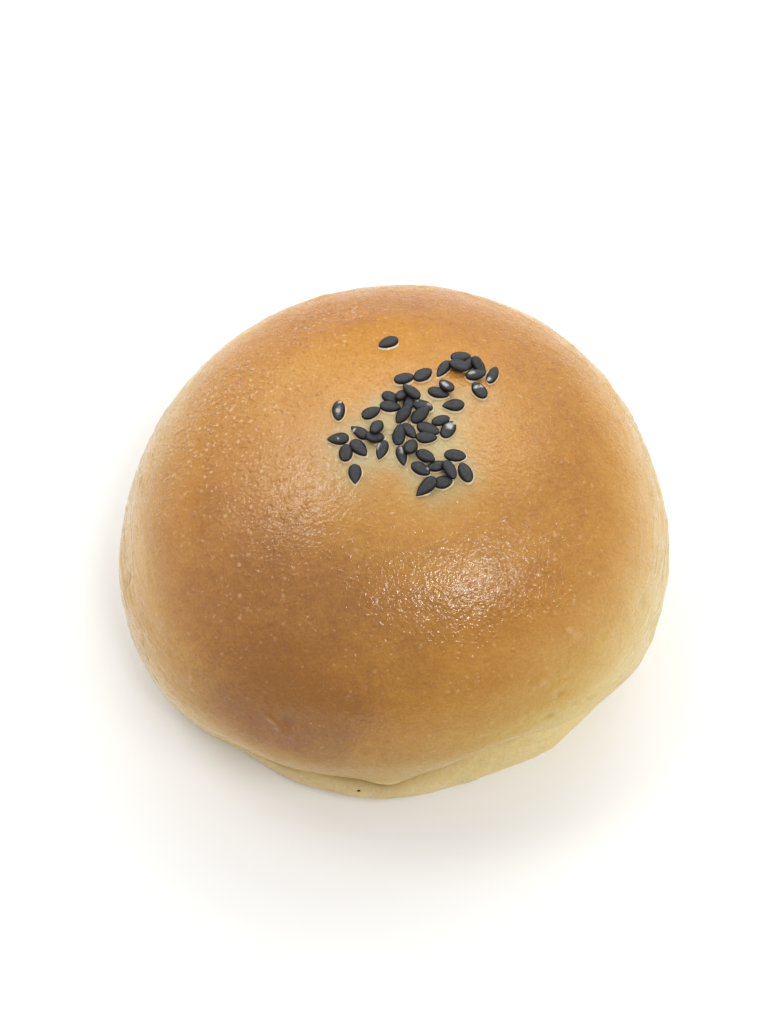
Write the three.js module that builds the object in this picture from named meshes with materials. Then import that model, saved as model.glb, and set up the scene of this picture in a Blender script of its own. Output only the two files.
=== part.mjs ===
// A baked bun with a sweet filling sealed inside: a low dome of proved dough on a flat underside.
// The dome bulges over its own foot, and along the front the crust has torn free of the base
// in the oven, leaving a crease with a band of foot below it.
// Millimetres, +Z up. The origin is the middle of the flat underside. Azimuth is in degrees
// round +Z, from +X towards +Y, so the front of the bun, where the crease is, lies at 270.

import * as THREE from 'three';

// Driving dimensions of the even, round form.
const WIDTH = 90;
const HEIGHT = 48;
const WIDEST_LEVEL = 17.1;
const UNDERSIDE_INSET = 8;
const DOME_POWER = 2.09;
const FLANK_POWER = 2.1;

// Low lobes of the outline seen from above, as parts of the radius.
const OUTLINE_LOBES = [
  { waves: 2, depth: 0.014, azimuth: 30 },
  { waves: 3, depth: 0.02, azimuth: 329 },
  { waves: 4, depth: 0.011, azimuth: 316 },
];

// Flatter places on the flank: the outline is drawn in by depth over spread degrees.
const FLATS = [
  { azimuth: 293, spread: 14, depth: 1.6 },
  { azimuth: 236, spread: 9, depth: 0.6 },
];
const FLAT_FADES_FROM = 12;
const FLAT_FADES_TO = 34;

// Flatter places on the foot only.
const FOOT_FLATS = [
  { azimuth: 226, spread: 13, depth: 1.4 },
  { azimuth: 320, spread: 15, depth: 1.9 },
];
const FOOT_FLAT_FADES_FROM = 5;
const FOOT_FLAT_FADES_TO = 19;

// The crease: where it starts and ends, its level, which climbs to the right, and its depth.
const CREASE_START = [228, 244];
const CREASE_END = [308, 330];
const CREASE_LEVEL = 7.6;
const CREASE_CLIMBS_TO = 13.5;
const CREASE_CLIMB = [274, 312];
const CREASE_RETURN = [330, 356];
const CREASE_DEPTH = 2.2;
const CREASE_SHALLOW_DEPTH = 0.9;
const CREASE_SOFTENS = [280, 300];
const CREASE_REACH_UP = 3.2;
const CREASE_REACH_DOWN = 2.4;
const CREASE_SHARPNESS = 1.3;

// The lip of the crust above the crease lies a little inside the even form,
// further in on the right, and hangs forward in one small tongue.
const LIP_RECESS = 1.25;
const LIP_REACH_UP = 13;
const LIP_REACH_DOWN = 5;
const LIP_HOLLOW = { azimuth: 292, spread: 10, depth: 2.1 };
const LIP_TONGUE = { azimuth: 268.5, spread: 4.5, depth: 1.6 };

// The foot swells out where the crust above it has torn.
const FOOT_SWELLS = [
  { azimuth: 280, spread: 46, depth: 1.7 },
  { azimuth: 266, spread: 11, depth: 0.5 },
];
const FOOT_LEVEL = 3.2;
const FOOT_REACH = 3.5;

// How finely the surface is divided.
const SEGMENTS_ROUND = 96;
const DOME_ROWS = 20;
const ROWS_ABOVE_CREASE = 8;
const ROWS_BELOW_CREASE = 7;
const UNDERSIDE_ROWS = 2;
const ROW_CROWDING = 1.3;

const CRUST_COLOUR = 0xc08a4c;

// A smooth step from 0 at start to 1 at end.
function rise(start, end, value) {
  return THREE.MathUtils.smoothstep(value, start, end);
}

// A smooth bump in azimuth, 1 at its middle.
function bump(azimuth, { azimuth: middle, spread }) {
  const away = THREE.MathUtils.euclideanModulo(azimuth - middle + 180, 360) - 180;
  return Math.exp(-((away / spread) ** 2));
}

// How much a list of bumps adds up to at an azimuth.
function totalDepth(places, azimuth) {
  return places.reduce((total, place) => total + place.depth * bump(azimuth, place), 0);
}

// The radius of the outline at an azimuth, at the widest level.
function outlineRadius(azimuth) {
  let factor = 1;
  for (const lobe of OUTLINE_LOBES) {
    factor += lobe.depth * Math.cos(THREE.MathUtils.degToRad(lobe.waves * (azimuth - lobe.azimuth)));
  }
  return (WIDTH / 2) * factor;
}

// The even form: a dome above the widest level, and a flank that tucks in below it.
function evenRadius(outline, level) {
  if (level >= WIDEST_LEVEL) {
    const climb = Math.min(1, (level - WIDEST_LEVEL) / (HEIGHT - WIDEST_LEVEL));
    return outline * (1 - climb ** DOME_POWER) ** (1 / DOME_POWER);
  }
  const drop = (WIDEST_LEVEL - level) / WIDEST_LEVEL;
  return outline - UNDERSIDE_INSET * (1 - (1 - drop ** FLANK_POWER) ** (1 / FLANK_POWER));
}

// The level of the crease. Past its right end the level sinks back, unseen, to where it began.
function creaseLevel(azimuth) {
  const climb = rise(...CREASE_CLIMB, azimuth) - rise(...CREASE_RETURN, azimuth);
  return THREE.MathUtils.lerp(CREASE_LEVEL, CREASE_CLIMBS_TO, climb);
}

// How strongly the crease shows at an azimuth, from 0 to 1.
function creaseStrength(azimuth) {
  return rise(...CREASE_START, azimuth) * (1 - rise(...CREASE_END, azimuth));
}

function creaseDepth(azimuth, level) {
  const above = level - creaseLevel(azimuth);
  const reach = above > 0 ? CREASE_REACH_UP : CREASE_REACH_DOWN;
  const cut = Math.exp(-((Math.abs(above) / reach) ** CREASE_SHARPNESS));
  const deepest = THREE.MathUtils.lerp(CREASE_DEPTH, CREASE_SHALLOW_DEPTH, rise(...CREASE_SOFTENS, azimuth));
  return creaseStrength(azimuth) * deepest * cut;
}

function lipRecess(azimuth, level) {
  const above = level - creaseLevel(azimuth);
  const fade = above > 0 ? 1 - rise(0, LIP_REACH_UP, above) : rise(-LIP_REACH_DOWN, 0, above);
  const depth = LIP_RECESS + totalDepth([LIP_HOLLOW], azimuth) - totalDepth([LIP_TONGUE], azimuth);
  return creaseStrength(azimuth) * fade * depth;
}

function flatRecess(azimuth, level) {
  const flank = totalDepth(FLATS, azimuth) * (1 - rise(FLAT_FADES_FROM, FLAT_FADES_TO, level));
  const foot = totalDepth(FOOT_FLATS, azimuth) * (1 - rise(FOOT_FLAT_FADES_FROM, FOOT_FLAT_FADES_TO, level));
  return flank + foot;
}

function footSwell(azimuth, level) {
  return totalDepth(FOOT_SWELLS, azimuth) * Math.exp(-(((level - FOOT_LEVEL) / FOOT_REACH) ** 2));
}

// The outside of the bun at any azimuth and level.
function crustRadius(azimuth, level) {
  const even = evenRadius(outlineRadius(azimuth), level);
  const drawnIn = flatRecess(azimuth, level) + lipRecess(azimuth, level) + creaseDepth(azimuth, level);
  return even - drawnIn + footSwell(azimuth, level);
}

// The levels of the rows from the bottom edge up to just below the widest level, closest
// together at the crease and at the rounded bottom edge. One row runs along the crease.
function flankLevels(azimuth) {
  const crease = creaseLevel(azimuth);
  const levels = [];
  for (let row = 0; row < ROWS_BELOW_CREASE; row += 1) {
    const share = row / ROWS_BELOW_CREASE;
    levels.push(crease * 0.5 * (1 - Math.cos(Math.PI * share)));
  }
  for (let row = 0; row < ROWS_ABOVE_CREASE; row += 1) {
    const share = row / ROWS_ABOVE_CREASE;
    levels.push(crease + (WIDEST_LEVEL - crease) * share ** ROW_CROWDING);
  }
  return levels;
}

// The profile of the even form, from the middle of the underside to the top.
function evenProfile() {
  const radius = WIDTH / 2;
  const profile = [];
  for (let row = 0; row < UNDERSIDE_ROWS; row += 1) {
    profile.push(new THREE.Vector2(evenRadius(radius, 0) * (row / UNDERSIDE_ROWS), 0));
  }
  for (const level of flankLevels(0)) {
    profile.push(new THREE.Vector2(evenRadius(radius, level), level));
  }
  for (let row = 0; row < DOME_ROWS; row += 1) {
    const climb = Math.sin((row / DOME_ROWS) * (Math.PI / 2));
    const level = WIDEST_LEVEL + (HEIGHT - WIDEST_LEVEL) * climb;
    profile.push(new THREE.Vector2(evenRadius(radius, level), level));
  }
  profile.push(new THREE.Vector2(0, HEIGHT));
  return profile;
}

// Moves each vertex of the even lathe out to the crust, row by row. Rows on the flank also
// move up or down, so that they follow the crease.
function shapeCrust(geometry, rowCount) {
  const position = geometry.attributes.position;
  for (let index = 0; index < position.count; index += 1) {
    const row = index % rowCount;
    const x = position.getX(index);
    const y = position.getY(index);
    const distance = Math.hypot(x, y);
    if (row === 0 || row === rowCount - 1) {
      continue;
    }
    const turn = THREE.MathUtils.radToDeg(Math.atan2(y, x));
    const azimuth = THREE.MathUtils.euclideanModulo(turn, 360);
    const flankRow = row - UNDERSIDE_ROWS;
    const onFlank = flankRow >= 0 && flankRow < ROWS_BELOW_CREASE + ROWS_ABOVE_CREASE;
    const level = onFlank ? flankLevels(azimuth)[flankRow] : position.getZ(index);
    const share = flankRow < 0 ? row / UNDERSIDE_ROWS : 1;
    const radius = share * crustRadius(azimuth, level);
    position.setXYZ(index, (x / distance) * radius, (y / distance) * radius, level);
  }
}

// Puts the middle of the bun's width and depth on the axis.
function centreOnAxis(geometry) {
  geometry.computeBoundingBox();
  const middle = geometry.boundingBox.getCenter(new THREE.Vector3());
  geometry.translate(-middle.x, -middle.y, 0);
}

function makeBun() {
  const profile = evenProfile();
  const geometry = new THREE.LatheGeometry(profile, SEGMENTS_ROUND);
  geometry.rotateX(Math.PI / 2);
  shapeCrust(geometry, profile.length);
  centreOnAxis(geometry);
  geometry.computeVertexNormals();
  const crust = new THREE.MeshStandardMaterial({ color: CRUST_COLOUR, roughness: 0.45, metalness: 0 });
  const bun = new THREE.Mesh(geometry, crust);
  bun.name = 'bun';
  return bun;
}

const group = new THREE.Group();
group.add(makeBun());

export default group;
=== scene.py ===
"""A round filled bun with black sesame on top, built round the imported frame.

One fine mesh of the crust stands for the plain CAD solid. The seeds, the egg wash that dried round
them and a dark speck on the foot are one mesh each. Shapes are worked out in millimetres and turned
into metres at the end. Azimuth is in degrees round +Z, from +X towards +Y, so the front of the bun
lies at 270.
"""

import math
import random

import bmesh
import bpy
import numpy as np
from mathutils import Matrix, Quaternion, Vector, bvhtree, noise


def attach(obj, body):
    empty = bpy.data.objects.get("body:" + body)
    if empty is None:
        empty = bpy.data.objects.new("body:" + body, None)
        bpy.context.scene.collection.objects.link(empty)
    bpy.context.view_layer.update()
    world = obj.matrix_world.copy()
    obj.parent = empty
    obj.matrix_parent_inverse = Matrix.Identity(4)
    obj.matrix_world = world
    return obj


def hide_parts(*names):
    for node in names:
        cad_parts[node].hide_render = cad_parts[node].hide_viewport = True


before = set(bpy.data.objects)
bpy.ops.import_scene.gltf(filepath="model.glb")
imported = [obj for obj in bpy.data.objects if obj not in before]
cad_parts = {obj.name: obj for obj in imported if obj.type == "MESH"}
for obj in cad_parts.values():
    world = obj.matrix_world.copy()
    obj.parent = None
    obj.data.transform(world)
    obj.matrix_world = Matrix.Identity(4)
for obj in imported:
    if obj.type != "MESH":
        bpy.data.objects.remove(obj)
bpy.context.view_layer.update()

MM = 0.001

# ---- the bun's form, as in part.mjs
WIDTH = 90.0
HEIGHT = 48.0
WIDEST_LEVEL = 17.1
UNDERSIDE_INSET = 8.0
DOME_POWER = 2.09
FLANK_POWER = 2.1

# Lobes of the outline: (waves, depth as a part of the radius, azimuth).
OUTLINE_LOBES = ((2, 0.014, 30), (3, 0.02, 329), (4, 0.011, 316))

# Flatter places on the flank: (azimuth, spread, depth).
FLATS = ((293, 14, 1.6), (236, 9, 0.6))
FLAT_FADES = (12, 34)

# Flatter places on the foot only.
FOOT_FLATS = ((226, 13, 1.4), (320, 15, 1.9))
FOOT_FLAT_FADES = (5, 19)

# The crease: the azimuths where it is cut and where it climbs, and its reach up and down.
CREASE_PLACE = (228, 244, 308, 330)
CREASE_LEVEL = 7.6
CREASE_CLIMBS_TO = 13.5
CREASE_CLIMBS = (274, 312, 330, 356)
CREASE_DEPTH = 2.2
CREASE_SHALLOW_DEPTH = 0.9
CREASE_SOFTENS = (280, 300)
CREASE_REACH = (3.2, 2.4)
CREASE_SHARPNESS = 1.3

# The lip: how far it is drawn in, how that fades round the crease, and its hollow and tongue.
LIP_RECESS = 1.25
LIP_FADES = (-5, 0, 0, 13)
LIP_HOLLOWS = ((292, 10, 2.1), (268.5, 4.5, -1.6))

FOOT_SWELLS = ((280, 46, 1.7), (266, 11, 0.5))
FOOT_LEVEL = 3.2
FOOT_REACH = 3.5

# How finely the crust is divided. Each ring of the dome has so many vertices more than the last.
RING_GROWTH = 6
DOME_ROWS = 138
ARC_STEPS = 4000
ROWS_ABOVE_CREASE = 22
ROWS_BELOW_CREASE = 20
ROW_CROWDING = 1.3
UNDERSIDE_SHARES = (0.985, 0.93, 0.8, 0.5)

# ---- the skin's relief, in mm
# Each noise has a number of its own, and its pattern lies that many of these steps away.
NOISE_STEPS = (13.7, 5.3, 9.1)

# Soft swells and a fine unevenness all over: (size, height, number), and the levels where all
# relief starts.
SWELLS = ((14, 0.2, 10), (6.5, 0.07, 11), (2.4, 0.035, 15), (1.1, 0.02, 16))
RELIEF_STARTS = (0, 1.2)

# Wrinkles round the waist: where they are, as (azimuth, spread, share) and levels, and how much
# higher they lie at the back, as (azimuth, spread, climb).
WRINKLE_PLACES = ((187, 30, 1.7), (4, 42, 1.7), (100, 50, 1.1))
WRINKLE_LEVELS = (7, 14, 29, 38)
WRINKLES_CLIMB = (100, 60, 7)

# Sets of wrinkles: (length, gap between them, height, thickness of the ridges, number).
WRINKLE_SETS = ((22, 4.6, 0.14, 0.45, 22), (18, 2.1, 0.22, 0.2, 23), (10, 1.2, 0.14, 0.22, 25))

# How wrinkles stray up and down, as (size, distance, number), and come and go, as (size, middle,
# contrast), and the share of a ridge that lies lower than plain skin.
WRINKLES_STRAY = (9, 1.6, 21)
WRINKLE_PATCHES = (7, 0.6, 1.2)
RIDGE_ROOT = 0.4

# Crinkle lines: their share on the foot and where above the crease they end, and how strong the
# wrinkles are where others start and at which levels those fade out.
FOOT_CRINKLES = 0.3
FOOT_CRINKLES_END = (-0.5, 1)
CRINKLES_START = 0.4
CRINKLES_FADE = (28, 36)

# Dimples and blisters: (azimuth, level, radius, height).
MARKS = (
    (305, 28.3, 0.8, -0.24),
    (302, 24.7, 0.75, -0.22),
    (319, 19.2, 0.9, -0.28),
    (297, 26.4, 0.6, -0.14),
    (302, 31.4, 0.75, 0.2),
    (312, 35.5, 0.5, 0.3),
    (313, 34.4, 1.3, 0.14),
    (200, 27.9, 0.9, -0.26),
    (248.3, 28.4, 1.3, -0.24),
    (244.5, 28.2, 0.5, 0.2),
    (332, 28.9, 1.1, -0.26),
    (226.8, 28.3, 0.55, 0.22),
    (221.2, 29.8, 0.45, 0.18),
)

# Scars, folds and grooves: lines through (azimuth, level) points, each with a radius and a height.
SCARS = (
    (
        ((245.6, 27.9), (247, 26.9), (248.1, 25.7), (249.2, 25.7), (250.2, 26.6), (250.6, 28.2)),
        0.55,
        0.15,
    ),
    (((212, 24), (215, 21.5), (218.3, 19.1)), 0.45, -0.25),
    (((288, 24.5), (292, 24.3), (297.5, 24.8), (302, 25)), 0.8, -0.18),
    (((289.5, 26.5), (294.5, 26.6), (300, 27.8), (305, 29.5)), 0.9, 0.14),
    (((306, 25.4), (313, 23.2), (319, 22)), 0.8, -0.2),
)

SCAR_STEPS = 24
SCAR_PATCHES = (1.7, 0.55, 1.5)

# The height at which a mark has its full colour: a blister's paler colour with painted highlight, and a
# dimple's painted shade.
MARK_HEIGHT = 0.25

# The relief between a valley's full painted shade and a ridge's full painted highlight, the foot's
# share in it, and the levels where the wrinkles' painted shade and highlight fade out.
FOLD_HEIGHT = 0.34
FOOT_FOLDS = 0.3
FOLDS_FADE = (24, 31)

# The crease is cut sharper than in the CAD solid, as (depth, reach), between these azimuths.
CREASE_CUT = (1.7, 0.5)
CUT_PLACE = (236, 243, 282, 304)

# How far the painted shade in the crease reaches, above and below it, and how sharply it ends.
CREASE_SHADE_REACH = (0.45, 1)
CREASE_SHADE_SHARPNESS = 1.5

# Stripes and pores on the pale foot, as (gap, length, height) and (size, depth), a pore's edge,
# and how far above the crease they end.
FOOT_STRIPES = (0.7, 6, 0.45)
FOOT_PORES = (0.6, 0.12)
PORE_EDGE = (0.25, 0.6)
FOOT_RELIEF_ENDS = (-0.5, 9)


# ---- small mathematical helpers
def rise(start, end, value):
    """A smooth step from 0 at start to 1 at end."""
    share = np.clip((value - start) / (end - start), 0, 1)
    return share * share * (3 - 2 * share)


def window(levels, value):
    """1 between the middle two of four levels or azimuths, fading to 0 at the outer two."""
    return rise(levels[0], levels[1], value) * (1 - rise(levels[2], levels[3], value))


def hump(away, reach, sharpness=2):
    """1 at no distance, falling off smoothly as the distance passes the reach."""
    return np.exp(-((np.abs(away) / reach) ** sharpness))


def bump(azimuth, middle, spread):
    """A smooth bump in azimuth, 1 at its middle."""
    return hump(np.mod(azimuth - middle + 180, 360) - 180, spread)


def total_depth(places, azimuth):
    """How much a list of (azimuth, spread, depth) adds up to at an azimuth."""
    return sum(depth * bump(azimuth, middle, spread) for middle, spread, depth in places)


def wander(points, size, number):
    """Smooth noise from about -1 to 1 with features of a given size."""
    shift = Vector([number * step for step in NOISE_STEPS])
    return np.array([noise.noise(Vector(point) / size + shift) for point in points])


def unevenness(points, *noises):
    """The sum of noises, each given as (size, height, number)."""
    return sum(height * wander(points, size, number) for size, height, number in noises)


def own_unevenness(points, noise_kind, which):
    """The same for one of many things, with a number of its own counted from the first."""
    size, height, first_number = noise_kind
    return unevenness(points, (size, height, first_number + which))


def patches(points, number, size, middle, contrast):
    """Patches of noise from 0 to 1, with features of a given size."""
    return np.clip(middle + unevenness(points, (size, contrast, number)), 0, 1)


def direction(azimuth, elevation):
    """The unit vector towards an azimuth and an elevation."""
    turn = math.radians(azimuth)
    climb = math.radians(elevation)
    return Vector((math.cos(turn) * math.cos(climb), math.sin(turn) * math.cos(climb), math.sin(climb)))


# ---- the even form
def outline_radius(azimuth):
    """The radius of the outline at the widest level."""
    factor = 1
    for waves, depth, middle in OUTLINE_LOBES:
        factor = factor + depth * np.cos(np.radians(waves * (azimuth - middle)))
    return WIDTH / 2 * factor


def even_radius(outline, level):
    """The even form: a dome above the widest level, and a flank that tucks in below it."""
    climb = np.clip((level - WIDEST_LEVEL) / (HEIGHT - WIDEST_LEVEL), 0, 1)
    drop = np.clip((WIDEST_LEVEL - level) / WIDEST_LEVEL, 0, 1)
    dome = outline * (1 - climb**DOME_POWER) ** (1 / DOME_POWER)
    flank = outline - UNDERSIDE_INSET * (1 - (1 - drop**FLANK_POWER) ** (1 / FLANK_POWER))
    return np.where(level >= WIDEST_LEVEL, dome, flank)


def crease_level(azimuth):
    return CREASE_LEVEL + (CREASE_CLIMBS_TO - CREASE_LEVEL) * window(CREASE_CLIMBS, azimuth)


def above_crease(azimuth, level):
    return level - crease_level(azimuth)


def crease_depth(azimuth, level):
    above = above_crease(azimuth, level)
    reach = np.where(above > 0, *CREASE_REACH)
    softens = rise(*CREASE_SOFTENS, azimuth)
    deepest = CREASE_DEPTH + (CREASE_SHALLOW_DEPTH - CREASE_DEPTH) * softens
    return window(CREASE_PLACE, azimuth) * deepest * hump(above, reach, CREASE_SHARPNESS)


def lip_recess(azimuth, level):
    fade = window(LIP_FADES, above_crease(azimuth, level))
    depth = LIP_RECESS + total_depth(LIP_HOLLOWS, azimuth)
    return window(CREASE_PLACE, azimuth) * fade * depth


def flat_recess(azimuth, level):
    flank = total_depth(FLATS, azimuth) * (1 - rise(*FLAT_FADES, level))
    foot = total_depth(FOOT_FLATS, azimuth) * (1 - rise(*FOOT_FLAT_FADES, level))
    return flank + foot


def foot_swell(azimuth, level):
    return total_depth(FOOT_SWELLS, azimuth) * hump(level - FOOT_LEVEL, FOOT_REACH)


def crust_radius(azimuth, level):
    """The outside of the bun at any azimuth and level."""
    even = even_radius(outline_radius(azimuth), level)
    drawn_in = flat_recess(azimuth, level) + lip_recess(azimuth, level) + crease_depth(azimuth, level)
    return even - drawn_in + foot_swell(azimuth, level)


def crust_points(azimuth, level):
    """Points on the outside of the bun, as rows of x, y and z."""
    radius = crust_radius(azimuth, level)
    turn = np.radians(azimuth)
    return np.stack([radius * np.cos(turn), radius * np.sin(turn), level], axis=1)


# ---- the crust's mesh
def dome_levels():
    """The levels of the dome's rings, evenly spaced along the surface from the top down."""
    turn = np.linspace(0, math.pi / 2, ARC_STEPS)
    levels = WIDEST_LEVEL + (HEIGHT - WIDEST_LEVEL) * np.cos(turn)
    radii = even_radius(WIDTH / 2, levels)
    steps = np.hypot(np.diff(radii), np.diff(levels))
    along = np.concatenate([[0], np.cumsum(steps)])
    return np.interp(np.linspace(0, along[-1], DOME_ROWS + 1), along, levels)


def flank_shares():
    """The flank's rows: how far each lies up to the crease, and from there to the widest level."""
    heights = np.linspace(1, 0, ROWS_ABOVE_CREASE + 1)[1:]
    turns = np.linspace(math.pi, 0, ROWS_BELOW_CREASE + 1)[1:]
    above = [(1, height**ROW_CROWDING) for height in heights]
    return above + [((1 - math.cos(turn)) / 2, 0) for turn in turns]


def around(count):
    """Azimuths evenly spaced once round the bun."""
    return np.arange(count) * 360 / count


def crust_rings():
    """All rings from the top to the middle of the underside, each as (azimuths, points)."""
    rings = [(np.zeros(1), np.array([[0.0, 0.0, HEIGHT]]))]
    for number, level in enumerate(dome_levels()[1:], start=1):
        azimuth = around(RING_GROWTH * number)
        rings.append((azimuth, crust_points(azimuth, np.full_like(azimuth, level))))
    count = RING_GROWTH * DOME_ROWS
    azimuth = around(count)
    crease = crease_level(azimuth)
    for below, above in flank_shares():
        rings.append((azimuth, crust_points(azimuth, crease * below + (WIDEST_LEVEL - crease) * above)))
    for share in UNDERSIDE_SHARES:
        count = count // 2
        azimuth = around(count)
        rings.append((azimuth, crust_points(azimuth, np.zeros(count)) * [share, share, 1]))
    rings.append((np.zeros(1), np.zeros((1, 3))))
    return rings


def stitch(first, first_count, second, second_count):
    """Triangles between two rings, the second below or outside the first, with their faces out.

    A ring may also be a single vertex.
    """
    faces = []
    i = 0
    j = 0
    while i < first_count or j < second_count:
        here = first + i % first_count
        there = second + j % second_count
        if (i + 1) * second_count <= (j + 1) * first_count:
            i += 1
            corner = first + i % first_count
        else:
            j += 1
            corner = second + j % second_count
        if corner not in (here, there):
            faces.append((here, there, corner))
    return faces


def band(first, second, count):
    """Four-sided faces between two rings of as many vertices."""
    after = [*range(1, count), 0]
    return [(first + k, first + after[k], second + after[k], second + k) for k in range(count)]


def around_and_up(azimuth, across, length):
    """Places for noise that is drawn out round the bun to the given length."""
    turn = np.radians(azimuth)
    around = WIDTH / 2 / length
    return np.stack([around * np.cos(turn), around * np.sin(turn), across], axis=1)


def wrinkling(azimuth, level):
    """How strong the wrinkles are."""
    lower = level - total_depth([WRINKLES_CLIMB], azimuth)
    return total_depth(WRINKLE_PLACES, azimuth) * window(WRINKLE_LEVELS, lower)


def crinkling(azimuth, level):
    """How strong the thin crinkle lines are, on the wrinkled rim and on the foot."""
    foot = FOOT_CRINKLES * (1 - rise(*FOOT_CRINKLES_END, above_crease(azimuth, level)))
    rim = (wrinkling(azimuth, level) - CRINKLES_START) * (1 - rise(*CRINKLES_FADE, level))
    return np.clip(np.maximum(rim, foot), 0, 1)


def waist_wrinkles(points, azimuth, level, sets=WRINKLE_SETS):
    """Long low ridges that run round the waist, where the crust shrank as it cooled."""
    strayed = level + unevenness(points, WRINKLES_STRAY)
    relief = np.zeros(len(points))
    for length, gap, height, thickness, number in sets:
        spots = around_and_up(azimuth, strayed / gap, length)
        ridge = 1 - np.minimum(1, np.abs(wander(spots, 1, number)) / thickness)
        relief += height * patches(points, number + 20, *WRINKLE_PATCHES) * (ridge - RIDGE_ROOT)
    return wrinkling(azimuth, level) * relief


def distance_from(points, azimuth, level):
    """How far points lie from one place on the crust."""
    place = crust_points(np.array([azimuth]), np.array([level]))[0]
    return np.linalg.norm(points - place, axis=1)


def mark_relief(points):
    """The dimples and blisters listed above."""
    relief = np.zeros(len(points))
    for azimuth, level, radius, height in MARKS:
        relief += height * hump(distance_from(points, azimuth, level), radius)
    return relief


def scar_relief(points):
    """The scars listed above, as low rolls or grooves along a line, broken here and there."""
    relief = np.zeros(len(points))
    for corners, radius, height in SCARS:
        azimuths, levels = np.array(corners).T
        share = np.linspace(0, len(corners) - 1, SCAR_STEPS)
        known = np.arange(len(corners))
        line = zip(np.interp(share, known, azimuths), np.interp(share, known, levels))
        near = np.min([distance_from(points, *place) for place in line], axis=0)
        relief += height * hump(near, radius)
    return relief * patches(points, 51, *SCAR_PATCHES)


def marks(points):
    """The dimples, blisters and scars, from -1 in a deep dimple to 1 on a high blister."""
    return np.clip((mark_relief(points) + scar_relief(points)) / MARK_HEIGHT, -1, 1)


def crease_cut(azimuth, level):
    """The sharp bottom of the crease."""
    depth, reach = CREASE_CUT
    return -depth * window(CUT_PLACE, azimuth) * hump(above_crease(azimuth, level), reach)


def painted_crease_shade(azimuth, level):
    """How much painted shade lies in the crease, where the lip shades it."""
    above = above_crease(azimuth, level)
    reach = np.where(above > 0, *CREASE_SHADE_REACH)
    return window(CUT_PLACE, azimuth) * hump(above, reach, CREASE_SHADE_SHARPNESS)


def foot_relief(points, azimuth, level):
    """Level stripes and pores on the pale foot and on the lip above it."""
    gap, length, height = FOOT_STRIPES
    pore_size, pore_depth = FOOT_PORES
    stripes = height * wander(around_and_up(azimuth, level / gap, length), 1, 31)
    pores = -pore_depth * rise(*PORE_EDGE, wander(points, pore_size, 32))
    foot = 1 - rise(*FOOT_RELIEF_ENDS, above_crease(azimuth, level))
    return foot * (stripes + pores)


def folds(points, azimuth, level):
    """Valleys and ridges of the wrinkled places, from 0 at the bottom of a valley to 1 on a ridge."""
    fine = waist_wrinkles(points, azimuth, level, WRINKLE_SETS[1:])
    relief = fine * (1 - rise(*FOLDS_FADE, level)) + FOOT_FOLDS * foot_relief(points, azimuth, level)
    return np.clip(0.5 + relief / FOLD_HEIGHT, 0, 1)


def crust_relief(points, azimuth, level):
    """How far the skin stands out from the even form, in mm."""
    relief = unevenness(points, *SWELLS) + waist_wrinkles(points, azimuth, level)
    relief += mark_relief(points) + scar_relief(points)
    relief += crease_cut(azimuth, level) + foot_relief(points, azimuth, level)
    return relief * rise(*RELIEF_STARTS, level)


# ---- where the crust is browned, glazed or rough
# Browning by level on a plain side, and how much the front left side adds to it at its darkest, partly
# as deeper browning and partly as painted shade on the side turned away from the light.
BROWNING_LEVELS = (0, 7, 13, 20, 25, 28, 31, 34, 37, 40, 42, 44, 46, 48)
BROWNING_SHARES = (0, 0.03, 0.06, 0.06, 0.18, 0.25, 0.33, 0.5, 0.67, 0.8, 0.85, 0.82, 0.72, 0.66)
DARKER_LEVELS = (0, 7, 10, 13, 17, 23, 28, 31, 34, 37, 40, 48)
DARKER_SHARES = (0.05, 0.08, 0.12, 0.22, 0.5, 0.76, 0.8, 0.72, 0.52, 0.29, 0.13, 0.04)
DARKEST_AZIMUTH = 248
DARKER_SPREADS = (36, 38)

# How uneven the browning is, as (size, share, number).
UNEVEN_BROWNING = ((11, 0.03, 41), (4.5, 0.05, 42))

# Patches that are browned more, or less: (azimuth, spread, levels, share).
BROWNING_PATCHES = (
    (165, 45, (24, 33, 44, 47), -0.14),
    (294, 12, (24, 28, 33, 37), 0.1),
    (322, 45, (43, 45.5, 47.2, 47.8), 0.05),
    (222, 30, (34, 38, 44, 47), 0.06),
    (216, 22, (16, 22, 34, 38), 0.03),
    (272, 40, (40, 43, 46.5, 47.5), -0.035),
)
UNDERSIDE_BROWNING = 0.62

# Sides where the crust's colour differs, as (azimuth, spread, levels, factors of its colour): partly
# its own tone and partly painted sheen, as the paler, bluer tints on the left side and at the rims
# stand in for the glaze's sheen.
TINTS = (
    (200, 42, (8, 16, 36, 44), (0.96, 0.92, 1.2)),
    (195, 24, (14, 18, 31, 35), (1.18, 1.24, 1.18)),
    (190, 45, (40, 43, 47, 48), (1, 1, 1.3)),
    (235, 35, (43, 45, 50, 52), (0.95, 0.96, 1)),
    (250, 30, (20, 26, 36, 42), (1, 0.97, 0.8)),
    (100, 80, (28, 38, 60, 70), (1.06, 0.92, 0.64)),
    (90, 60, (44, 45.5, 47.3, 47.9), (1, 1, 0.85)),
    (306, 26, (24, 30, 40, 44), (0.93, 0.86, 0.7)),
    (325, 20, (12, 16, 28, 33), (1.08, 1.12, 1.2)),
    (280, 60, (-2, -1, 4, 6.5), (1.08, 1.14, 1.3)),
    (350, 30, (33, 38, 43, 45), (1, 0.98, 0.88)),
    (140, 40, (35, 38, 43, 45.5), (0.97, 0.92, 0.84)),
    (90, 70, (38, 40, 43, 45), (1, 0.98, 0.85)),
    (288, 10, (14, 18, 23, 26), (0.95, 0.9, 0.8)),
    (225, 13, (14, 18, 30, 34), (1.08, 1.18, 1.18)),
    (243, 8, (20, 24, 30, 33), (1, 0.95, 0.84)),
    (262, 8, (20, 24, 30, 33), (1.05, 1.1, 1.13)),
    (287, 15, (20, 25, 30, 34), (0.97, 0.96, 0.72)),
)

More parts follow.
